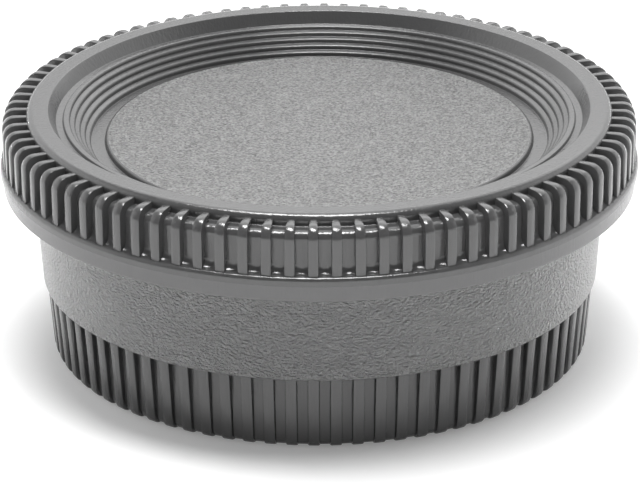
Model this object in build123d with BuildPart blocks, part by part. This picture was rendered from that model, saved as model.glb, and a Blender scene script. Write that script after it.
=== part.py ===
from build123d import *
import os

# A camera body cap locked by its bayonet onto a rear lens cap: two plastic mouldings on one axis.
# Sizes are in millimetres and degrees. The origin is the centre of the base, and +Z is the axis.

# Heights of the stack
REAR_HEIGHT = 18.55  # rear lens cap, from its base to its mouth
SEAT_GAP = 0.05  # between the two faces that meet at the mouth
CAP_HEIGHT = 5.9  # body cap, from its seat to the top of its rim

# Outer edges of both mouldings
LIP_RADIUS = 31.25  # body cap's lip, the widest edge
LIP_HEIGHT = 0.85
LIP_BEVEL = 0.15
FLANGE_INSET = 0.25  # the rear cap's flange lies this far inside the lip
FLANGE_THICKNESS = 1.6
FLANGE_BEVEL = 0.15

# Knurl round the body cap
KNURL_RIBS = 90
KNURL_FIRST_RIB = -87.1  # direction of one rib's middle, about +Z from +X
KNURL_INSET = 0.3  # rib faces inside the lip
KNURL_DROP = 0.3  # rib tops below the rim
KNURL_CROWN = 1.3  # radius that rounds a rib over to its top
GROOVE_DEPTH = 0.85
GROOVE_DROP = 1.1  # ledge between the ribs' tops, below the rim
GROOVE_BEVEL = 0.4  # between that ledge and a groove's floor
RIB_WIDTH = 1.0  # at the rib faces
RIB_TIP_WIDTH = 0.7  # where a rib runs out against the rim
RIB_ROOT = 0.3  # how far a rib is rooted in what carries it

# Dished top of the body cap, as widths from the rim inwards and depths below the rim
RIM_INSET = 2.35  # rim's outer edge inside the rib faces
RIM_WIDTH = 2.15
CONE_WIDTH = 0.75
CHANNEL_DEPTH = 1.24
CHANNEL_WIDTH = 0.65
CHANNEL_FALL = 0.06
RIDGE_DEPTH = 1.0
RIDGE_DRAFT = 0.1
RIDGE_WIDTH = 0.62
STEP_COUNT = 4  # treads between the ridge and the dish floor
STEP_RUN = 0.49
STEP_RISE = 0.385
STEP_FALL = 0.155  # a tread slopes down inwards by this much
DISH_DEPTH = 3.6
DISH_WIDTH = 1.42  # ring of bare floor round the disc
DISC_RISE = 0.55
DISC_BEVEL = 0.2

# Underside of the body cap
WEB_THICKNESS = 1.5  # under the dish floor
SKIRT_WALL = 1.5  # behind the knurl's grooves
CORE_ROOF = 1.2  # plastic left under the channel, above the core
CORE_LEAN = 1.6  # the core's inner wall follows the steps in by this much

# Bayonet: lugs on the body cap's spigot turn in under lugs inside the rear cap's mouth
LUG_COUNT = 3
LUG_DIRECTION = 30.0  # middle of one lug, locked
LUG_SLACK = 4.0  # a lug is this much narrower than half its share of the circle
CATCH_REACH = 3.25  # rear cap's lugs stand this far in from the cup's mouth
CATCH_DROP = 0.3  # their tops below the mouth
CATCH_THICKNESS = 1.4
SPIGOT_CLEARANCE = 0.35
SPIGOT_WALL = 2.0
SPIGOT_TIP = 1.1  # spigot below its lugs
LUG_BITE = 1.3  # overlap of the lugs, measured outwards
LUG_THICKNESS = 1.3
LUG_PLAY = 0.1  # height left between the lugs
STOP_CLEARANCE = 0.6  # angle left before a lug meets its stop
STOP_OVERLAP = 0.65  # how far a stop reaches in front of a lug's end

# Rear lens cap
WALL_INSET = 3.15  # cup's wall under the flange, inside the lip
WALL_TAPER = 0.07  # radius lost for each mm of drop
GRIP_HEIGHT = 7.35  # band of ribs at the foot
GRIP_RIBS = 80
GRIP_FIRST_RIB = -86.85
GRIP_STEP = 0.3  # ribs start this far inside the wall above
GRIP_TAPER = 0.07  # of the rib faces
GRIP_GROOVE_DEPTH = 0.58  # at the top of the band
GRIP_GROOVE_TAPER = 0.04  # of the groove floors, so the grooves get shallower downwards
GRIP_RIB_WIDTH = 1.09
GRIP_RIB_DRAFT = 0.14  # a rib is this much wider at its root
FOOT_BEVEL = 0.5  # under the ribs and under the groove floors
CUP_WALL = 2.7  # at the mouth, behind the wall's top edge
CUP_TAPER = 0.05
CUP_FLOOR = 1.8
CUP_BEVEL = 0.8  # round the cup's floor
BASE_RECESS_INSET = 3.1  # shallow recess under the base, inside the foot
BASE_RECESS_DEPTH = 0.5

# Levels and radii that follow from the sizes above
SEAT_Z = REAR_HEIGHT + SEAT_GAP
RIM_Z = SEAT_Z + CAP_HEIGHT
LEDGE_Z = SEAT_Z + LIP_HEIGHT
DISH_Z = RIM_Z - DISH_DEPTH
GROOVE_Z = RIM_Z - GROOVE_DROP
CHANNEL_Z = RIM_Z - CHANNEL_DEPTH
CHANNEL_FOOT_Z = CHANNEL_Z - CHANNEL_FALL
KNURL_RADIUS = LIP_RADIUS - KNURL_INSET
GROOVE_RADIUS = KNURL_RADIUS - GROOVE_DEPTH
RIM_RADIUS = KNURL_RADIUS - RIM_INSET
RIM_INNER_RADIUS = RIM_RADIUS - RIM_WIDTH
CHANNEL_RADIUS = RIM_INNER_RADIUS - CONE_WIDTH
RIDGE_FOOT_RADIUS = CHANNEL_RADIUS - CHANNEL_WIDTH
RIDGE_RADIUS = RIDGE_FOOT_RADIUS - RIDGE_DRAFT
STEPS_RADIUS = RIDGE_RADIUS - RIDGE_WIDTH
DISH_RADIUS = STEPS_RADIUS - STEP_COUNT * STEP_RUN
DISC_RADIUS = DISH_RADIUS - DISH_WIDTH
WALL_RADIUS = LIP_RADIUS - WALL_INSET
CUP_MOUTH_RADIUS = WALL_RADIUS - CUP_WALL
CATCH_RADIUS = CUP_MOUTH_RADIUS - CATCH_REACH
SPIGOT_RADIUS = CATCH_RADIUS - SPIGOT_CLEARANCE
SPIGOT_BORE_RADIUS = SPIGOT_RADIUS - SPIGOT_WALL
LUG_RADIUS = CATCH_RADIUS + LUG_BITE
CATCH_TOP_Z = REAR_HEIGHT - CATCH_DROP
CATCH_Z = CATCH_TOP_Z - CATCH_THICKNESS
LUG_TOP_Z = CATCH_Z - LUG_PLAY
LUG_Z = LUG_TOP_Z - LUG_THICKNESS
SPIGOT_Z = LUG_Z - SPIGOT_TIP
LUG_ARC = 180 / LUG_COUNT - LUG_SLACK
STOP_ARC = LUG_SLACK - 2 * STOP_CLEARANCE
CORE_RADIUS = GROOVE_RADIUS - SKIRT_WALL
CATCH_ARC = LUG_ARC + STOP_CLEARANCE + STOP_ARC
CORE_FOOT_RADIUS = RIDGE_FOOT_RADIUS - CORE_LEAN
CORE_TOP_Z = CHANNEL_FOOT_Z - CORE_ROOF
FLANGE_RADIUS = LIP_RADIUS - FLANGE_INSET
FLANGE_Z = REAR_HEIGHT - FLANGE_THICKNESS
WALL_FOOT_RADIUS = WALL_RADIUS - WALL_TAPER * (FLANGE_Z - GRIP_HEIGHT)
GRIP_TOP_RADIUS = WALL_FOOT_RADIUS - GRIP_STEP
GRIP_FOOT_RADIUS = GRIP_TOP_RADIUS - GRIP_TAPER * GRIP_HEIGHT
GRIP_FLOOR_RADIUS = GRIP_TOP_RADIUS - GRIP_GROOVE_DEPTH
GRIP_FLOOR_FOOT_RADIUS = GRIP_FLOOR_RADIUS - GRIP_GROOVE_TAPER * GRIP_HEIGHT
GRIP_ROOT_RADIUS = GRIP_FLOOR_FOOT_RADIUS - FOOT_BEVEL - RIB_ROOT
CUP_FLOOR_RADIUS = CUP_MOUTH_RADIUS - CUP_TAPER * (REAR_HEIGHT - CUP_FLOOR)
BASE_RECESS_RADIUS = GRIP_FOOT_RADIUS - BASE_RECESS_INSET


def draw_sector(inner, outer, middle, arc):
    """Draws a ring's sector into the line builder that is open, its ends cut along the radius."""
    start = middle - arc / 2
    near_side = CenterArc((0, 0), inner, start, arc)
    far_side = CenterArc((0, 0), outer, start, arc)
    Line(near_side @ 0, far_side @ 0)
    Line(near_side @ 1, far_side @ 1)


def step_corners():
    """Corners of the concentric steps, from the ridge's inner edge down to the dish floor."""
    corners = []
    for step in range(STEP_COUNT):
        radius = STEPS_RADIUS - step * STEP_RUN
        top = RIM_Z - RIDGE_DEPTH - step * (STEP_RISE + STEP_FALL)
        corners += [(radius, top), (radius, top - STEP_RISE)]
    last_top = RIM_Z - RIDGE_DEPTH - STEP_COUNT * (STEP_RISE + STEP_FALL)
    return corners + [(DISH_RADIUS, last_top), (DISH_RADIUS, DISH_Z)]


def draw_wedge(inner, outer, inner_width, outer_width):
    """Draws a rib's plan into the line builder that is open: a wedge along +X."""
    Polyline(
        (inner, -inner_width / 2),
        (outer, -outer_width / 2),
        (outer, outer_width / 2),
        (inner, inner_width / 2),
        close=True,
    )


# One rib of the knurl: straight sides, rounded over at the top, wedge-shaped in plan
with BuildPart() as knurl_rib:
    rib_top_z = RIM_Z - KNURL_DROP
    with BuildSketch(Plane.XZ) as rib_section:
        with BuildLine():
            Line((KNURL_RADIUS, LEDGE_Z - RIB_ROOT), (KNURL_RADIUS, rib_top_z - KNURL_CROWN))
            JernArc((KNURL_RADIUS, rib_top_z - KNURL_CROWN), (0, 1), KNURL_CROWN, 90)
            Polyline(
                (KNURL_RADIUS - KNURL_CROWN, rib_top_z),
                (RIM_RADIUS - RIB_ROOT, rib_top_z),
                (RIM_RADIUS - RIB_ROOT, GROOVE_Z - GROOVE_BEVEL - RIB_ROOT),
                (GROOVE_RADIUS - RIB_ROOT, GROOVE_Z - GROOVE_BEVEL - RIB_ROOT),
                (GROOVE_RADIUS - RIB_ROOT, LEDGE_Z - RIB_ROOT),
                (KNURL_RADIUS, LEDGE_Z - RIB_ROOT),
            )
        make_face()
    extrude(amount=RIB_WIDTH, both=True)
    with BuildSketch(Plane.XY) as rib_plan:
        spread = (RIB_WIDTH - RIB_TIP_WIDTH) / RIM_INSET
        with BuildLine():
            draw_wedge(
                RIM_RADIUS - RIB_ROOT,
                KNURL_RADIUS,
                RIB_TIP_WIDTH - spread * RIB_ROOT,
                RIB_WIDTH,
            )
        make_face()
    extrude(amount=RIM_Z, mode=Mode.INTERSECT)

# Body cap: one revolved section, with the knurl's ribs round it and three lugs on the spigot
with BuildPart() as body_cap:
    with BuildSketch(Plane.XZ) as cap_section:
        with BuildLine():
            Polyline(
                (0, DISH_Z - WEB_THICKNESS),
                (SPIGOT_BORE_RADIUS, DISH_Z - WEB_THICKNESS),
                (SPIGOT_BORE_RADIUS, SPIGOT_Z),
                (SPIGOT_RADIUS, SPIGOT_Z),
                (SPIGOT_RADIUS, SEAT_Z),
                (CORE_FOOT_RADIUS, SEAT_Z),
                (RIDGE_FOOT_RADIUS, CORE_TOP_Z),
                (CORE_RADIUS, CORE_TOP_Z),
                (CORE_RADIUS, SEAT_Z),
                (LIP_RADIUS - LIP_BEVEL, SEAT_Z),
                (LIP_RADIUS, SEAT_Z + LIP_BEVEL),
                (LIP_RADIUS, LEDGE_Z - LIP_BEVEL),
                (LIP_RADIUS - LIP_BEVEL, LEDGE_Z),
                (GROOVE_RADIUS, LEDGE_Z),
                (GROOVE_RADIUS, GROOVE_Z - GROOVE_BEVEL),
                (GROOVE_RADIUS - GROOVE_BEVEL, GROOVE_Z),
                (RIM_RADIUS, GROOVE_Z),
                (RIM_RADIUS, RIM_Z),
                (RIM_INNER_RADIUS, RIM_Z),
                (CHANNEL_RADIUS, CHANNEL_Z),
                (RIDGE_FOOT_RADIUS, CHANNEL_FOOT_Z),
                (RIDGE_RADIUS, RIM_Z - RIDGE_DEPTH),
                *step_corners(),
                (DISC_RADIUS, DISH_Z),
                (DISC_RADIUS, DISH_Z + DISC_RISE - DISC_BEVEL),
                (DISC_RADIUS - DISC_BEVEL, DISH_Z + DISC_RISE),
                (0, DISH_Z + DISC_RISE),
                close=True,
            )
        make_face()
    revolve(axis=Axis.Z)
    with PolarLocations(0, KNURL_RIBS, start_angle=KNURL_FIRST_RIB):
        add(knurl_rib.part)
    with BuildSketch(Plane.XY.offset(LUG_Z)) as cap_lugs:
        for lug in range(LUG_COUNT):
            with BuildLine():
                draw_sector(SPIGOT_RADIUS - SPIGOT_WALL / 2, LUG_RADIUS,
                            LUG_DIRECTION + lug * 360 / LUG_COUNT, LUG_ARC)
            make_face()
    extrude(amount=LUG_THICKNESS)

# One rib of the grip round the rear cap's foot
with BuildPart() as grip_rib:
    with BuildSketch(Plane.XZ) as grip_section:
        with BuildLine():
            Polyline(
                (GRIP_ROOT_RADIUS, 0),
                (GRIP_FOOT_RADIUS - FOOT_BEVEL, 0),
                (GRIP_FOOT_RADIUS, FOOT_BEVEL),
                (GRIP_TOP_RADIUS + GRIP_TAPER * RIB_ROOT, GRIP_HEIGHT + RIB_ROOT),
                (GRIP_ROOT_RADIUS, GRIP_HEIGHT + RIB_ROOT),
                close=True,
            )
        make_face()
    extrude(amount=GRIP_RIB_WIDTH, both=True)
    with BuildSketch(Plane.XY) as grip_plan:
        with BuildLine():
            draw_wedge(
                GRIP_ROOT_RADIUS,
                WALL_FOOT_RADIUS,
                GRIP_RIB_WIDTH + GRIP_RIB_DRAFT,
                GRIP_RIB_WIDTH,
            )
        make_face()
    extrude(amount=GRIP_HEIGHT + RIB_ROOT, mode=Mode.INTERSECT)

# Rear lens cap: one revolved cup, with ribs round its foot and lugs and stops inside its mouth
with BuildPart() as rear_lens_cap:
    with BuildSketch(Plane.XZ) as cup_section:
        with BuildLine():
            Polyline(
                (0, BASE_RECESS_DEPTH),
                (BASE_RECESS_RADIUS, BASE_RECESS_DEPTH),
                (BASE_RECESS_RADIUS, 0),
                (GRIP_FLOOR_FOOT_RADIUS - FOOT_BEVEL, 0),
                (GRIP_FLOOR_FOOT_RADIUS, FOOT_BEVEL),
                (GRIP_FLOOR_RADIUS, GRIP_HEIGHT),
                (WALL_FOOT_RADIUS, GRIP_HEIGHT),
                (WALL_RADIUS, FLANGE_Z),
                (FLANGE_RADIUS - FLANGE_BEVEL, FLANGE_Z),
                (FLANGE_RADIUS, FLANGE_Z + FLANGE_BEVEL),
                (FLANGE_RADIUS, REAR_HEIGHT - FLANGE_BEVEL),
                (FLANGE_RADIUS - FLANGE_BEVEL, REAR_HEIGHT),
                (CUP_MOUTH_RADIUS, REAR_HEIGHT),
                (CUP_FLOOR_RADIUS, CUP_FLOOR + CUP_BEVEL),
                (CUP_FLOOR_RADIUS - CUP_BEVEL, CUP_FLOOR),
                (0, CUP_FLOOR),
                close=True,
            )
        make_face()
    revolve(axis=Axis.Z)
    with PolarLocations(0, GRIP_RIBS, start_angle=GRIP_FIRST_RIB):
        add(grip_rib.part)
    wall_middle = (CUP_MOUTH_RADIUS + WALL_FOOT_RADIUS) / 2
    catch_end = LUG_DIRECTION - LUG_ARC / 2 + CATCH_ARC
    catch_middle = catch_end - CATCH_ARC / 2
    stop_middle = catch_end - STOP_ARC / 2
    with BuildSketch(Plane.XY.offset(CATCH_Z)) as cup_lugs:
        for lug in range(LUG_COUNT):
            with BuildLine():
                draw_sector(CATCH_RADIUS, wall_middle,
                            catch_middle + lug * 360 / LUG_COUNT, CATCH_ARC)
            make_face()
    extrude(amount=CATCH_THICKNESS)
    with BuildSketch(Plane.XY.offset(LUG_Z)) as cup_stops:
        for lug in range(LUG_COUNT):
            with BuildLine():
                draw_sector(LUG_RADIUS - STOP_OVERLAP, wall_middle,
                            stop_middle + lug * 360 / LUG_COUNT, STOP_ARC)
            make_face()
    extrude(amount=CATCH_TOP_Z - LUG_Z)

body_cap.part.label = "body_cap"
rear_lens_cap.part.label = "rear_lens_cap"

os.makedirs("parts", exist_ok=True)
export_step(body_cap.part, "parts/body_cap.step")
export_step(rear_lens_cap.part, "parts/rear_lens_cap.step")
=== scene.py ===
import math

import bmesh
import bpy
from mathutils import Matrix, Vector


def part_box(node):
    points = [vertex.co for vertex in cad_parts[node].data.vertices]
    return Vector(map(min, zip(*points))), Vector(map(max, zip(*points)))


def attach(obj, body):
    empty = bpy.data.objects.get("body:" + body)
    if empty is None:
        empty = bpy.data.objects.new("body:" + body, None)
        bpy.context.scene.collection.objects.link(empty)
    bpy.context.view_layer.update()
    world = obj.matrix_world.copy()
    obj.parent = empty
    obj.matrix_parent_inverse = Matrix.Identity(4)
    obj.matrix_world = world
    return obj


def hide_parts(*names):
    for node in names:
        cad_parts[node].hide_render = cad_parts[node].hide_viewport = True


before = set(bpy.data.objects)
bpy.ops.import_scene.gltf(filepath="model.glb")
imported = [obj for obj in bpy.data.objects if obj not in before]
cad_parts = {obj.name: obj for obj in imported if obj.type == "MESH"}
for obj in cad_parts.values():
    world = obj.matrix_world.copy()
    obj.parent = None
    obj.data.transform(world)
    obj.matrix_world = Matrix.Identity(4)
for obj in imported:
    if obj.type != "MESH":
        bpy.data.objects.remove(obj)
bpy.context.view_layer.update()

# Lengths of the caps are in millimetres from the middle of the base, and MM turns them into metres.
MM = 0.001
TURN_STEPS = 360  # faces round every turned surface
ROUND_STEPS = 4  # faces over a rounded edge
EDGE_BAND = 0.05  # narrow band beside each rounding, which keeps the flats flat in smooth shading
BAND_ROOM = 3 * EDGE_BAND  # flats shorter than this get no band
ON_AXIS = 1e-6  # points nearer to the axis than this are on it
BEVEL_STEPS = 2  # faces over a bevelled edge
BEVEL_ANGLE = math.radians(40)  # edges sharper than this are bevelled
SMOOTH_ANGLE = math.radians(35)  # edges sharper than this stay sharp in smooth shading

cap_low, cap_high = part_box("body_cap")
_, cup_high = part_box("rear_lens_cap")
RIM_Z = cap_high.z / MM
SPIGOT_Z = cap_low.z / MM
LIP_RADIUS = cap_high.x / MM
MOUTH_Z = cup_high.z / MM
FLANGE_RADIUS = cup_high.x / MM

# Body cap, from the lip up
SEAT_Z = MOUTH_Z + 0.015
LEDGE_Z = MOUTH_Z + 0.9
LIP_ROUND = 0.4
SEAM_ROUND = 0.04
KNURL_RADIUS = LIP_RADIUS - 0.3
GROOVE_RADIUS = KNURL_RADIUS - 0.85
GROOVE_Z = RIM_Z - 1.1
GROOVE_ROUND = 0.7
RIM_ROUND = 0.65
RIM_RADIUS = KNURL_RADIUS - 2.35
RIM_INNER_RADIUS = RIM_RADIUS - 2.15
CHANNEL_RADIUS = RIM_INNER_RADIUS - 0.75
CHANNEL_Z = RIM_Z - 1.24
RIDGE_RADIUS = CHANNEL_RADIUS - 0.65
RIDGE_FOOT_Z = CHANNEL_Z - 0.06
RIDGE_TOP_RADIUS = RIDGE_RADIUS - 0.1
RIDGE_Z = RIM_Z - 1.0
STEP_COUNT = 4
STEP_RUN = 0.49
STEP_RISE = 0.385
STEP_FALL = 0.155
STEP_ROUND = 0.2
STEPS_RADIUS = RIDGE_RADIUS - 0.72
DISH_RADIUS = STEPS_RADIUS - STEP_COUNT * STEP_RUN
DISH_Z = RIM_Z - 3.6
DISC_RADIUS = DISH_RADIUS - 1.42
DISC_Z = DISH_Z + 0.55
DISC_MARGIN = 0.25  # satin ring between the disc's grain and its edge
WEB_Z = DISH_Z - 1.5
CORE_RADIUS = GROOVE_RADIUS - 1.5
CORE_Z = CHANNEL_Z - 1.26
CORE_FOOT = RIDGE_RADIUS - 1.6
SPIGOT_RADIUS = 21.8
SPIGOT_BORE = 19.8

# Ribs of the knurl
KNURL_RIBS = 90
KNURL_FIRST_RIB = -87.1  # degrees about the axis, from +X
KNURL_RIB_Z = RIM_Z - 0.4
KNURL_CROWN = 1.3
CROWN_STEPS = 8
RIB_WIDTH = 1.0
RIB_TIP_WIDTH = 0.7
RIB_ROOT = 0.3  # how far every rib goes into the body behind it
RIB_EDGE = 0.16

# Fillets at the foot of the knurl's grooves
SCOOP = 0.55  # radius at the middle of a groove
SCOOP_SIDE = 0.95  # radius beside the ribs
SCOOP_GAP = 0.4  # from a fillet's end to the middle of the next rib
SCOOP_ROOT = 0.1  # how far it goes into the body behind it
SCOOP_STEPS = 6
SCOOP_SECTIONS = 8

# Rear lens cap, from the base up
FLANGE_Z = MOUTH_Z - 1.6
WALL_RADIUS = FLANGE_RADIUS - 2.9
WALL_TAPER = 0.07
WALL_MARGIN = 0.1  # rounded strip at each end of the wall, which has no grain
GRIP_Z = 7.35
GRIP_TAPER = 0.07
WALL_FOOT = WALL_RADIUS - WALL_TAPER * (FLANGE_Z - GRIP_Z)
GRIP_RADIUS = WALL_FOOT - 0.3
GRIP_FOOT = GRIP_RADIUS - GRIP_TAPER * GRIP_Z
GRIP_FLOOR = GRIP_RADIUS - 0.58
GRIP_FLOOR_TAPER = 0.04
GRIP_FLOOR_FOOT = GRIP_FLOOR - GRIP_FLOOR_TAPER * GRIP_Z
GRIP_RIBS = 80
GRIP_FIRST_RIB = -86.85
GRIP_RIB_WIDTH = 1.09
GRIP_ROOT_WIDTH = 1.23
FOOT_ROUND = 0.8
FOOT_STEPS = 6
CUP_MOUTH = WALL_RADIUS - 2.7
CUP_FLOOR_Z = 1.8
CUP_DRAFT = 0.05
CUP_FLOOR = CUP_MOUTH - CUP_DRAFT * (MOUTH_Z - CUP_FLOOR_Z)
RECESS_RADIUS = GRIP_FOOT - 3.1
RECESS_Z = 0.5

# Bayonet lugs, hidden while the two caps are locked: the cup's are the catches, with a stop each
LUG_COUNT = 3
LUG_DIRECTION = 30.0
LUG_ARC = 56.0
LUG_START = -LUG_ARC / 2  # degrees from each lug's direction
LUG_RADIUS = 23.45
LUG_ROOT = SPIGOT_RADIUS - 1.0
LUG_LOW, LUG_HIGH = MOUTH_Z - 3.1, MOUTH_Z - 1.8
LUG_EDGE = 0.15
LUG_STEPS = 40
CATCH_RADIUS = CUP_MOUTH - 3.25
CATCH_ROOT = (CUP_MOUTH + WALL_FOOT) / 2
CATCH_ARC = 59.4
CATCH_LOW, CATCH_HIGH = MOUTH_Z - 1.7, MOUTH_Z - 0.3
STOP_ARC = 2.8
STOP_START = CATCH_ARC - LUG_ARC / 2 - STOP_ARC
STOP_RADIUS = 22.8

# Camera, as the photograph was taken
CAMERA_LENS = 200.67
CAMERA_SENSOR = 36.0
CAMERA_DISTANCE = 354.5
CAMERA_RISE = math.radians(23.395)
CAMERA_AIM_Z = 9.24
CAMERA_SIDE = 0.026
CAMERA_ROLL = math.radians(-0.265)
CAMERA_CLIP = (0.05, 10.0)  # metres

# Floor and light, as in the photograph, in metres and watts
FLOOR_REACH = 3.0
FLOOR_GREY = 0.9
FLOOR_FADE = (0.25, 1.0)  # distances from the caps between which the floor's glow grows
FLOOR_GLOW = (0.2, 1.0)  # its glow at those distances
FRONT_FADE = (-0.6, 0.1)  # from the room's dark side, behind the camera, to its white one
ROOM_FRONT = 0.12
CEILING_FADE = (0.5, 0.85)  # from the white walls to the dark ceiling
ROOM_CEILING = 0.1
LAMP_AIM = Vector((0, 0, 0.02))
# Each lamp's name, place, width and depth, power, and whether it shows in reflections
LAMPS = (("key_lamp", (-0.02, -0.03, 0.70), (0.44, 0.19), 4.0, True),
         ("soft_lamp", (0.06, 0.48, 0.66), (0.9, 0.9), 2.4, True),
         ("left_lamp", (-0.42, 0.42, 0.022), (0.4, 0.04), 6.0, False),
         ("right_lamp", (0.42, 0.42, 0.022), (0.4, 0.04), 7.5, False))


# Objects and meshes

def linked(name, data):
    """A new object with this data, in the scene."""
    thing = bpy.data.objects.new(name, data)
    bpy.context.scene.collection.objects.link(thing)
    return thing


def meshed(name, bm):
    """A new object with the mesh that was built in bm, its faces turned outwards."""
    bmesh.ops.recalc_face_normals(bm, faces=bm.faces)
    mesh = bpy.data.meshes.new(name)
    bm.to_mesh(mesh)
    bm.free()
    return linked(name, mesh)


def lofted(name, sections):
    """A solid through sections that have equally many points, in millimetres."""
    bm = bmesh.new()
    rings = [[bm.verts.new(point * MM) for point in section] for section in sections]
    for one, two in zip(rings, rings[1:]):
        for i in range(len(one)):
            j = (i + 1) % len(one)
            bm.faces.new([one[i], one[j], two[j], two[i]])
    bm.faces.new(rings[0])
    bm.faces.new(list(reversed(rings[-1])))
    return meshed(name, bm)


def bevelled(bar, width):
    """The bar with its sharp edges rounded off."""
    bevel = bar.modifiers.new("edges", "BEVEL")
    bevel.width = width * MM
    bevel.segments = BEVEL_STEPS
    bevel.limit_method = "ANGLE"
    bevel.angle_limit = BEVEL_ANGLE
    return bar


# Outlines and turned shells

def rounded(corners):
    """Points of an outline whose corners are (radius, height, rounding), with its narrow bands."""
    points = []
    for i, (x, z, rounding) in enumerate(corners):
        here = Vector((x, z))
        if rounding == 0:
            points.append(here)
            continue
        back = Vector(corners[i - 1][:2]) - here
        ahead = Vector(corners[i + 1][:2]) - here
        half = back.angle(ahead) / 2
        reach = rounding / math.tan(half)
        inwards = (back.normalized() + ahead.normalized()).normalized()
        middle = here + inwards * rounding / math.sin(half)
        start = here + back.normalized() * reach
        end = here + ahead.normalized() * reach
        if (back.length - reach) > BAND_ROOM:
            points.append(start + back.normalized() * EDGE_BAND)
        sweep = (start - middle).angle_signed(end - middle)
        for step in range(ROUND_STEPS + 1):
            spoke = start - middle
            spoke.rotate(Matrix.Rotation(-sweep * step / ROUND_STEPS, 2))
            points.append(middle + spoke)
        if (ahead.length - reach) > BAND_ROOM:
            points.append(end + ahead.normalized() * EDGE_BAND)
    return points


def turned(name, outline):
    """A closed shell turned round the axis from an outline that starts and ends on it."""
    bm = bmesh.new()
    rings = []
    for point in outline:
        if point.x < ON_AXIS:
            rings.append([bm.verts.new((0, 0, point.y * MM))])
            continue
        ring = []
        for step in range(TURN_STEPS):
            angle = 2 * math.pi * step / TURN_STEPS
            ring.append(bm.verts.new((point.x * MM * math.cos(angle),
                                      point.x * MM * math.sin(angle), point.y * MM)))
        rings.append(ring)
    for low, high in zip(rings, rings[1:]):
        for step in range(TURN_STEPS):
            after = (step + 1) % TURN_STEPS
            corners = [low[step % len(low)], low[after % len(low)],
                       high[after % len(high)], high[step % len(high)]]
            bm.faces.new(list(dict.fromkeys(corners)))
    return meshed(name, bm)


def step_corners():
    """Corners of the concentric steps, from the dish floor up to the ridge."""
    last_top = RIDGE_Z - STEP_COUNT * (STEP_RISE + STEP_FALL)
    corners = [(DISH_RADIUS, DISH_Z, 0.06), (DISH_RADIUS, last_top, STEP_ROUND)]
    for step in reversed(range(STEP_COUNT)):
        radius = STEPS_RADIUS - step * STEP_RUN
        top = RIDGE_Z - step * (STEP_RISE + STEP_FALL)
        corners += [(radius, top - STEP_RISE, 0.05), (radius, top, STEP_ROUND)]
    return corners


def body_cap_outline():
    """Half section of the body cap, from the middle of its disc round to the middle of its web."""
    return rounded([
        (0, DISC_Z, 0),
        (DISC_RADIUS, DISC_Z, 0.3),
        (DISC_RADIUS, DISH_Z, 0.08),
        *step_corners(),
        (RIDGE_TOP_RADIUS, RIDGE_Z, 0.1),
        (RIDGE_RADIUS, RIDGE_FOOT_Z, 0.05),
        (CHANNEL_RADIUS, CHANNEL_Z, 0.1),
        (RIM_INNER_RADIUS, RIM_Z, 0.15),
        (RIM_RADIUS, RIM_Z, RIM_ROUND),
        (RIM_RADIUS, GROOVE_Z, 0.12),
        (GROOVE_RADIUS, GROOVE_Z, GROOVE_ROUND),
        (GROOVE_RADIUS, LEDGE_Z, 0.2),
        (LIP_RADIUS, LEDGE_Z, LIP_ROUND),
        (LIP_RADIUS, SEAT_Z, SEAM_ROUND),
        (CORE_RADIUS, SEAT_Z, 0.1),
        (CORE_RADIUS, CORE_Z, 0.4),
        (RIDGE_RADIUS, CORE_Z, 0.4),
        (CORE_FOOT, SEAT_Z, 0.1),
        (SPIGOT_RADIUS, SEAT_Z, 0.2),
        (SPIGOT_RADIUS, SPIGOT_Z, 0.25),
        (SPIGOT_BORE, SPIGOT_Z, 0.25),
        (SPIGOT_BORE, WEB_Z, 0.4),
        (0, WEB_Z, 0),
    ])


def rear_cap_outline():
    """Half section of the rear lens cap, from the middle of its base round to that of its floor."""
    return rounded([
        (0, RECESS_Z, 0),
        (RECESS_RADIUS, RECESS_Z, 0.15),
        (RECESS_RADIUS, 0, 0.15),
        (GRIP_FLOOR_FOOT, 0, FOOT_ROUND),
        (GRIP_FLOOR, GRIP_Z, 0.05),
        (WALL_FOOT, GRIP_Z, 0.06),
        (WALL_RADIUS, FLANGE_Z, 0.3),
        (FLANGE_RADIUS, FLANGE_Z, 0.2),
        (FLANGE_RADIUS, MOUTH_Z, SEAM_ROUND),
        (CUP_MOUTH, MOUTH_Z, 0.3),
        (CUP_FLOOR, CUP_FLOOR_Z, 1.0),
        (0, CUP_FLOOR_Z, 0),
    ])


# One rib, fillet or lug of each kind

def quarter_round(radius, steps):
    """Distances of a quarter round's points from the two lines that it joins."""
    angles = [math.pi / 2 * step / steps for step in range(steps + 1)]
    return [(radius * (1 - math.cos(angle)), radius * (1 - math.sin(angle))) for angle in angles]


def prism(name, side, width_at):
    """A rib across the XZ plane from its side view, as wide at each radius as width_at says."""
    bm = bmesh.new()
    left = [bm.verts.new((x * MM, -width_at(x) / 2 * MM, z * MM)) for x, z in side]
    right = [bm.verts.new((x * MM, width_at(x) / 2 * MM, z * MM)) for x, z in side]
    bm.faces.new(left)
    bm.faces.new(list(reversed(right)))
    for i in range(len(side)):
        j = (i + 1) % len(side)
        bm.faces.new([left[j], left[i], right[i], right[j]])
    return bevelled(meshed(name, bm), RIB_EDGE)


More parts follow.
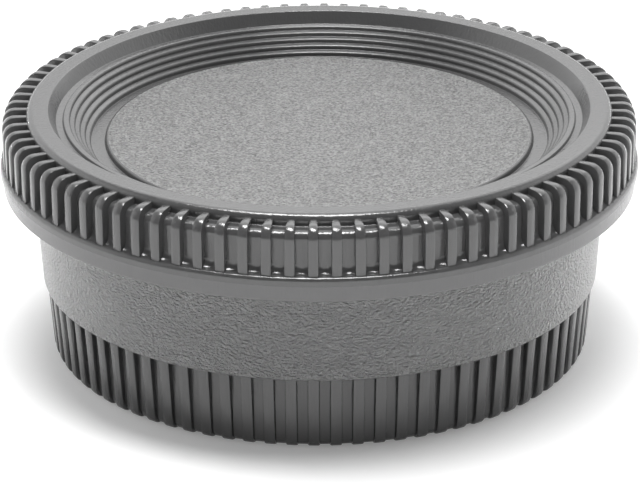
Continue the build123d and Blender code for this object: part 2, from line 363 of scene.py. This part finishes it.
def knurl_rib():
    """One rib of the knurl, rounded over at its top."""
    crown = [(KNURL_RADIUS - inwards, KNURL_RIB_Z - down)
             for inwards, down in quarter_round(KNURL_CROWN, CROWN_STEPS)]
    side = [(GROOVE_RADIUS - RIB_ROOT, LEDGE_Z - RIB_ROOT), (KNURL_RADIUS, LEDGE_Z - RIB_ROOT),
            *crown, (RIM_RADIUS - RIB_ROOT, KNURL_RIB_Z),
            (RIM_RADIUS - RIB_ROOT, GROOVE_Z - GROOVE_ROUND - RIB_ROOT),
            (GROOVE_RADIUS - RIB_ROOT, GROOVE_Z - GROOVE_ROUND - RIB_ROOT)]
    flare = (RIB_WIDTH - RIB_TIP_WIDTH) / (KNURL_RADIUS - RIM_RADIUS)
    return prism("knurl_rib", side, lambda x: RIB_WIDTH - flare * (KNURL_RADIUS - x))


def groove_scoop():
    """Hollow fillet at one groove's foot, tightest at its middle, which holds a point of light."""
    half = math.pi * GROOVE_RADIUS / KNURL_RIBS - SCOOP_GAP
    back, under = GROOVE_RADIUS - SCOOP_ROOT, LEDGE_Z - SCOOP_ROOT
    sections = []
    for step in range(SCOOP_SECTIONS + 1):
        across = 2 * step / SCOOP_SECTIONS - 1
        radius = SCOOP + (SCOOP_SIDE - SCOOP) * across ** 2
        hollow = [(GROOVE_RADIUS + outwards, LEDGE_Z + up)
                  for outwards, up in quarter_round(radius, SCOOP_STEPS)]
        points = [(back, under), (back, LEDGE_Z + radius), *hollow, (GROOVE_RADIUS + radius, under)]
        sections.append([Vector((x, across * half, z)) for x, z in points])
    return lofted("groove_scoop", sections)


def grip_rib():
    """One rib of the grip at the rear cap's foot, rounded where it meets the table."""
    foot = [(GRIP_FOOT - inwards, up) for up, inwards in quarter_round(FOOT_ROUND, FOOT_STEPS)]
    root = GRIP_FLOOR_FOOT - FOOT_ROUND - RIB_ROOT
    side = [(root, 0), *foot,
            (GRIP_RADIUS + GRIP_TAPER * RIB_ROOT, GRIP_Z + RIB_ROOT),
            (root, GRIP_Z + RIB_ROOT)]
    flare = (GRIP_ROOT_WIDTH - GRIP_RIB_WIDTH) / (GRIP_RADIUS - root)
    return prism("grip_rib", side, lambda x: GRIP_RIB_WIDTH + flare * (GRIP_RADIUS - x))


def lug(name, radii, heights, start, arc):
    """One lug: a sector of a ring, from the direction start onwards, in degrees."""
    (inner, outer), (low, high) = radii, heights
    sections = []
    for step in range(LUG_STEPS + 1):
        angle = math.radians(start + arc * step / LUG_STEPS)
        along = Vector((math.cos(angle), math.sin(angle), 0))
        sections.append([along * radius + Vector((0, 0, z)) for radius, z in
                         ((inner, low), (outer, low), (outer, high), (inner, high))])
    return bevelled(lofted(name, sections), LUG_EDGE)


# Node helpers and the tree that repeats a bar round the axis

def calculated(tree, operation, *values):
    """Result of a math node whose inputs are sockets or plain numbers."""
    node = tree.nodes.new("ShaderNodeMath")
    node.operation = operation
    for value, entry in zip(values, node.inputs):
        if isinstance(value, bpy.types.NodeSocket):
            tree.links.new(value, entry)
        else:
            entry.default_value = value
    return node.outputs[0]


def spread(tree, value, source, target, smooth=False):
    """Spreads a value's range source over the range target, with soft ends if smooth."""
    node = tree.nodes.new("ShaderNodeMapRange")
    node.interpolation_type = "SMOOTHSTEP" if smooth else "LINEAR"
    node.inputs["From Min"].default_value, node.inputs["From Max"].default_value = source
    node.inputs["To Min"].default_value, node.inputs["To Max"].default_value = target
    tree.links.new(value, node.inputs["Value"])
    return node.outputs["Result"]


def round_axis_tree():
    """Geometry nodes: the object's own mesh, repeated evenly round the vertical axis."""
    tree = bpy.data.node_groups.new("repeat round the axis", "GeometryNodeTree")
    face = tree.interface
    for label, kind in (("Bar", "NodeSocketGeometry"), ("Copies", "NodeSocketInt"),
                        ("First direction", "NodeSocketFloat"), ("Finish", "NodeSocketMaterial")):
        face.new_socket(label, in_out="INPUT", socket_type=kind)
    face.new_socket("Bars", in_out="OUTPUT", socket_type="NodeSocketGeometry")
    nodes, link = tree.nodes, tree.links.new
    given = nodes.new("NodeGroupInput")
    points = nodes.new("GeometryNodePoints")
    index = nodes.new("GeometryNodeInputIndex")
    spin = nodes.new("ShaderNodeCombineXYZ")
    rotation = nodes.new("FunctionNodeEulerToRotation")
    copies = nodes.new("GeometryNodeInstanceOnPoints")
    real = nodes.new("GeometryNodeRealizeInstances")
    finish = nodes.new("GeometryNodeSetMaterial")
    result = nodes.new("NodeGroupOutput")
    pitch = calculated(tree, "DIVIDE", 2 * math.pi, given.outputs["Copies"])
    turn = calculated(tree, "MULTIPLY_ADD", index.outputs[0], pitch,
                      given.outputs["First direction"])
    link(given.outputs["Copies"], points.inputs["Count"])
    link(turn, spin.inputs["Z"])
    link(spin.outputs[0], rotation.inputs[0])
    link(points.outputs[0], copies.inputs["Points"])
    link(given.outputs["Bar"], copies.inputs["Instance"])
    link(rotation.outputs[0], copies.inputs["Rotation"])
    link(copies.outputs[0], real.inputs[0])
    link(real.outputs[0], finish.inputs["Geometry"])
    link(given.outputs["Finish"], finish.inputs["Material"])
    link(finish.outputs[0], result.inputs[0])
    return tree


def repeated(bar, tree, copies, first_direction, finish):
    """Repeats a bar round the axis with the tree, and leaves a plain mesh."""
    modifier = bar.modifiers.new("round the axis", "NODES")
    modifier.node_group = tree
    values = {"Copies": copies, "First direction": math.radians(first_direction), "Finish": finish}
    for item in tree.interface.items_tree:
        if item.in_out == "INPUT" and item.name in values:
            modifier[item.identifier] = values[item.name]
    evaluated = bar.evaluated_get(bpy.context.evaluated_depsgraph_get())
    mesh = bpy.data.meshes.new_from_object(evaluated)
    bar.modifiers.clear()
    bar.data = mesh
    return bar


def joined(name, shell, bars):
    """Joins the bars to their shell as one mesh, smooth but for its real edges."""
    with bpy.context.temp_override(active_object=shell, selected_editable_objects=[shell, *bars]):
        bpy.ops.object.join()
    shell.name = name
    shell.data.name = name
    for polygon in shell.data.polygons:
        polygon.use_smooth = True
    shell.data.set_sharp_from_angle(angle=SMOOTH_ANGLE)
    return shell


# Finishes, whose grains have sizes and depths in millimetres

def shader(name, colour, roughness):
    """A glossy plastic material with object coordinates in millimetres, ready for its grain."""
    material = bpy.data.materials.new(name)
    material.use_nodes = True
    tree = material.node_tree
    plastic = tree.nodes["Principled BSDF"]
    plastic.inputs["Base Color"].default_value = (*colour, 1)
    plastic.inputs["Roughness"].default_value = roughness
    plastic.inputs["Specular IOR Level"].default_value = 1.0
    place = tree.nodes.new("ShaderNodeTexCoord")
    scale = tree.nodes.new("ShaderNodeMapping")
    scale.inputs["Scale"].default_value = (1 / MM,) * 3
    tree.links.new(place.outputs["Object"], scale.inputs["Vector"])
    return material, tree, plastic, scale.outputs["Vector"]


def stretched(tree, where, times):
    """The place with its height divided, so that a pattern on it gets that many times as tall."""
    node = tree.nodes.new("ShaderNodeVectorMath")
    node.operation = "MULTIPLY"
    node.inputs[1].default_value = (1, 1, 1 / times)
    tree.links.new(where, node.inputs[0])
    return node.outputs[0]


def noise(tree, where, size):
    """Noise whose lumps are about size across."""
    node = tree.nodes.new("ShaderNodeTexNoise")
    node.inputs["Scale"].default_value = 1 / size
    tree.links.new(where, node.inputs["Vector"])
    return node.outputs["Fac"]


def bump(tree, pattern, depth, under=None):
    """Bump of the given depth, on top of another bump if one is given."""
    node = tree.nodes.new("ShaderNodeBump")
    node.inputs["Distance"].default_value = depth * MM
    tree.links.new(pattern, node.inputs["Height"])
    if under:
        tree.links.new(under, node.inputs["Normal"])
    return node.outputs["Normal"]


def satin_plastic(name, colour):
    """Satin moulded surface: faint streaks along the mould's draw, and uneven gloss."""
    material, tree, plastic, where = shader(name, colour, roughness=0.3)
    streaks = bump(tree, noise(tree, stretched(tree, where, 16), size=0.26), depth=0.03)
    fine = bump(tree, noise(tree, where, size=0.3), depth=0.01, under=streaks)
    gloss = spread(tree, noise(tree, where, size=1.2), source=(0.3, 0.7), target=(0.16, 0.26))
    tree.links.new(fine, plastic.inputs["Normal"])
    tree.links.new(gloss, plastic.inputs["Roughness"])
    return material


def sparkling_plastic(name, low, high):
    """Finely spark-eroded surface of the disc, with a grain between two greys."""
    material, tree, plastic, where = shader(name, (high, high, high), roughness=0.33)
    grey = spread(tree, noise(tree, where, size=0.22), source=(0.35, 0.65), target=(low, high))
    grain = bump(tree, noise(tree, where, size=0.28), depth=0.5)
    tree.links.new(grey, plastic.inputs["Base Color"])
    tree.links.new(grain, plastic.inputs["Normal"])
    return material


def leather_plastic(name, colour):
    """Leather-like grain of the rear cap's wall: short wavy ridges between creases."""
    material, tree, plastic, where = shader(name, colour, roughness=0.33)
    lumps = noise(tree, stretched(tree, where, 0.65), size=0.34)
    ridges = bump(tree, spread(tree, lumps, source=(0.25, 0.75), target=(1.0, 0.0)), depth=0.56)
    fine = bump(tree, noise(tree, where, size=0.14), depth=0.01, under=ridges)
    tree.links.new(fine, plastic.inputs["Normal"])
    return material


# The two mouldings

def body_cap(tree):
    """The body cap as one mesh: turned shell, knurl, fillets in its grooves and bayonet lugs."""
    satin = satin_plastic("cap_satin", (0.095, 0.095, 0.096))
    sparkle = sparkling_plastic("cap_sparkle", 0.13, 0.38)
    cap = turned("cap_shell", body_cap_outline())
    cap.data.materials.append(satin)
    cap.data.materials.append(sparkle)
    for polygon in cap.data.polygons:
        grained = polygon.center.xy.length < (DISC_RADIUS - DISC_MARGIN) * MM
        polygon.material_index = 1 if grained and polygon.center.z > DISH_Z * MM else 0
    first_groove = KNURL_FIRST_RIB + 180 / KNURL_RIBS
    ribs = repeated(knurl_rib(), tree, KNURL_RIBS, KNURL_FIRST_RIB, satin)
    scoops = repeated(groove_scoop(), tree, KNURL_RIBS, first_groove, satin)
    one_lug = lug("cap_lug", (LUG_ROOT, LUG_RADIUS), (LUG_LOW, LUG_HIGH), LUG_START, LUG_ARC)
    lugs = repeated(one_lug, tree, LUG_COUNT, LUG_DIRECTION, satin)
    return joined("body_cap_moulding", cap, [ribs, scoops, lugs])


def rear_lens_cap(tree):
    """The rear lens cap as one mesh: turned shell, ribs of the grip, catches with their stops."""
    satin = satin_plastic("cup_satin", (0.14, 0.14, 0.142))
    # Painted shade: the grip's grey of 0.045 is much darker than the cap's other plastic. It stands
    # in for the shade on the ribs near the table.
    grip = satin_plastic("cup_grip_painted_shade", (0.045, 0.045, 0.046))
    # Painted light: the grained wall's grey of 0.39 is far lighter than the cap's other plastic. It
    # stands in for light on its shaded front.
    leather = leather_plastic("cup_leather_painted_light", (0.39, 0.39, 0.392))
    cup = turned("cup_shell", rear_cap_outline())
    cup.data.materials.append(satin)
    cup.data.materials.append(leather)
    cup.data.materials.append(grip)
    # The grained wall's faces get the painted-light grey, and the grip's faces below it get the
    # painted-shade grey.
    grip_end, wall_end = (GRIP_Z + WALL_MARGIN) * MM, (FLANGE_Z - WALL_MARGIN) * MM
    for polygon in cup.data.polygons:
        if polygon.center.xy.length > RECESS_RADIUS * MM:
            if grip_end < polygon.center.z < wall_end:
                polygon.material_index = 1
            elif polygon.center.z < grip_end:
                polygon.material_index = 2
    ribs = repeated(grip_rib(), tree, GRIP_RIBS, GRIP_FIRST_RIB, grip)
    one_catch = lug("cup_lug", (CATCH_RADIUS, CATCH_ROOT), (CATCH_LOW, CATCH_HIGH),
                    LUG_START, CATCH_ARC)
    one_stop = lug("cup_stop", (STOP_RADIUS, CATCH_ROOT), (LUG_LOW, CATCH_HIGH),
                   STOP_START, STOP_ARC)
    catches = repeated(one_catch, tree, LUG_COUNT, LUG_DIRECTION, satin)
    stops = repeated(one_stop, tree, LUG_COUNT, LUG_DIRECTION, satin)
    return joined("rear_cap_moulding", cup, [ribs, catches, stops])


def build_caps():
    """Builds both caps, each as one mesh that stands for its CAD node."""
    tree = round_axis_tree()
    for piece, node, body, slot in (
            (body_cap(tree), "body_cap", "body_cap_body", "body_cap_plastic"),
            (rear_lens_cap(tree), "rear_lens_cap", "rear_cap_body", "rear_cap_plastic")):
        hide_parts(node)
        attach(piece, body)


# Floor, light and camera

def white_floor():
    """A white table that stays white to the camera and keeps the caps' shadow."""
    mesh = bpy.data.meshes.new("table_top")
    corners = [(x * FLOOR_REACH, y * FLOOR_REACH, 0)
               for x, y in ((-1, -1), (1, -1), (1, 1), (-1, 1))]
    mesh.from_pydata(corners, [], [(0, 1, 2, 3)])
    floor = linked("table_top", mesh)
    material = bpy.data.materials.new("white_table")
    material.use_nodes = True
    tree = material.node_tree
    tree.nodes.clear()
    diffuse = tree.nodes.new("ShaderNodeBsdfDiffuse")
    diffuse.inputs["Color"].default_value = (FLOOR_GREY, FLOOR_GREY, FLOOR_GREY, 1)
    glow = tree.nodes.new("ShaderNodeEmission")
    path = tree.nodes.new("ShaderNodeLightPath")
    place = tree.nodes.new("ShaderNodeTexCoord")
    distance = tree.nodes.new("ShaderNodeVectorMath")
    distance.operation = "LENGTH"
    total = tree.nodes.new("ShaderNodeAddShader")
    output = tree.nodes.new("ShaderNodeOutputMaterial")
    seen = calculated(tree, "ADD", path.outputs["Is Camera Ray"], path.outputs["Is Glossy Ray"])
    level = spread(tree, distance.outputs["Value"], FLOOR_FADE, FLOOR_GLOW)
    tree.links.new(place.outputs["Object"], distance.inputs[0])
    tree.links.new(calculated(tree, "MULTIPLY", seen, level), glow.inputs["Strength"])
    tree.links.new(diffuse.outputs[0], total.inputs[0])
    tree.links.new(glow.outputs[0], total.inputs[1])
    tree.links.new(total.outputs[0], output.inputs["Surface"])
    floor.data.materials.append(material)


def studio_light():
    """A white room with a dark camera side and ceiling, and the lamps.

    The key lamp hangs overhead and the soft lamp behind the caps. The two low strips light the
    flanks from behind, and don't show in reflections.
    """
    world = bpy.data.worlds.new("white_room")
    bpy.context.scene.world = world
    world.use_nodes = True
    tree = world.node_tree
    back = tree.nodes["Background"]
    back.inputs["Color"].default_value = (1, 1, 1, 1)
    place = tree.nodes.new("ShaderNodeTexCoord")
    parts = tree.nodes.new("ShaderNodeSeparateXYZ")
    path = tree.nodes.new("ShaderNodeLightPath")
    side = spread(tree, parts.outputs["Y"], FRONT_FADE, (ROOM_FRONT, 1.0), smooth=True)
    rise = spread(tree, parts.outputs["Z"], CEILING_FADE, (1.0, ROOM_CEILING), smooth=True)
    walls = calculated(tree, "MULTIPLY", side, rise)
    level = calculated(tree, "MAXIMUM", walls, path.outputs["Is Camera Ray"])
    tree.links.new(place.outputs["Generated"], parts.inputs[0])
    tree.links.new(level, back.inputs["Strength"])
    for name, spot, size, power, shines in LAMPS:
        lamp = bpy.data.lights.new(name, "AREA")
        lamp.shape = "ELLIPSE"
        lamp.size, lamp.size_y = size
        lamp.energy = power
        holder = linked(name, lamp)
        holder.location = spot
        holder.visible_glossy = shines
        aim = LAMP_AIM - holder.location
        holder.rotation_euler = aim.to_track_quat("-Z", "Y").to_euler()


def photo_camera():
    """The photograph's viewpoint."""
    data = bpy.data.cameras.new("photo_camera")
    data.lens = CAMERA_LENS
    data.sensor_width = CAMERA_SENSOR
    data.clip_start, data.clip_end = CAMERA_CLIP
    camera = linked("photo_camera", data)
    back = Vector((0, -math.cos(CAMERA_RISE), math.sin(CAMERA_RISE))) * CAMERA_DISTANCE
    camera.location = (back + Vector((CAMERA_SIDE, 0, CAMERA_AIM_Z))) * MM
    tilt = Matrix.Rotation(math.pi / 2 - CAMERA_RISE, 3, "X") @ Matrix.Rotation(CAMERA_ROLL, 3, "Z")
    camera.rotation_euler = tilt.to_euler()
    bpy.context.scene.camera = camera


build_caps()
white_floor()
studio_light()
photo_camera()
bpy.context.scene.view_settings.view_transform = "Standard"
